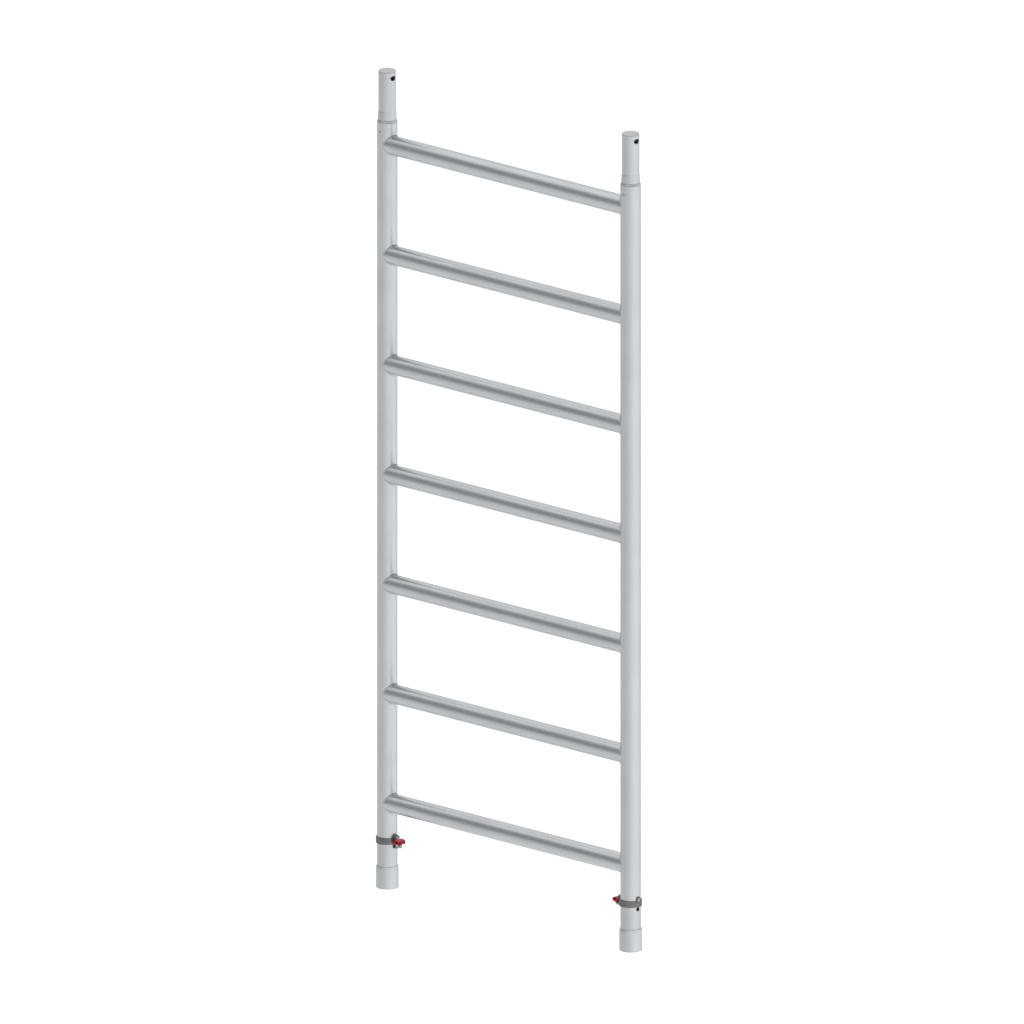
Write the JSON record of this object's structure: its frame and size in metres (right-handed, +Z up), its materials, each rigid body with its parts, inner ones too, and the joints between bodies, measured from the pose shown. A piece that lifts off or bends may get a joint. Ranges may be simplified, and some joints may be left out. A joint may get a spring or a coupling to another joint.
{
  "type": "scaffold tower frame",
  "caption": "Welded aluminium ladder frame for a scaffold tower: round uprights and rungs, spigots on top, collared sockets below with swinging lock latches.",
  "frame": {"origin": "on the floor, midway between the two feet", "axes": "+Z up along the uprights, +X from the left to the right upright along the rungs, +Y through the frame"},
  "size_m": [0.9078, 0.0564, 2.086],
  "materials": {
    "tube": "mill finish, satin",
    "spigot": "turned, satin",
    "collar": "satin",
    "spigot_cap": "satin",
    "rivet": "dull",
    "lock_steel": "zinc plated, dull grey",
    "lock_red": "moulded, satin red"
  },
  "bodies": {
    "frame": {"left_upright": "tube", "right_upright": "tube", "left_foot_collar": "collar", "right_foot_collar": "collar", "left_spigot": "spigot", "right_spigot": "spigot", "left_spigot_cap": "spigot_cap", "right_spigot_cap": "spigot_cap", "left_spigot_rivets": "rivet", "right_spigot_rivets": "rivet", "left_lock_band": "lock_steel", "right_lock_band": "lock_steel", "left_lock_rivets": "rivet", "right_lock_rivets": "rivet", "left_lock_hinge_pin": "lock_steel", "right_lock_hinge_pin": "lock_steel", "rung_1": "tube", "rung_2": "tube", "rung_3": "tube", "rung_4": "tube", "rung_5": "tube", "rung_6": "tube", "rung_7": "tube"},
    "left_latch": {"left_lock_plate": "lock_steel", "left_lock_grip": "lock_red", "left_lock_peg": "lock_steel"},
    "right_latch": {"right_lock_plate": "lock_steel", "right_lock_grip": "lock_red", "right_lock_peg": "lock_steel"}
  },
  "joints": [
    {"name": "left_latch_swing", "type": "hinge", "parent": "frame", "child": "left_latch", "pos_m": [-0.3914, 0, 0.132], "axis": [0, -1, 0], "range_deg": [-30, 45]},
    {"name": "right_latch_swing", "type": "hinge", "parent": "frame", "child": "right_latch", "pos_m": [0.3914, 0, 0.132], "axis": [0, 1, 0], "range_deg": [-30, 45]}
  ]
}
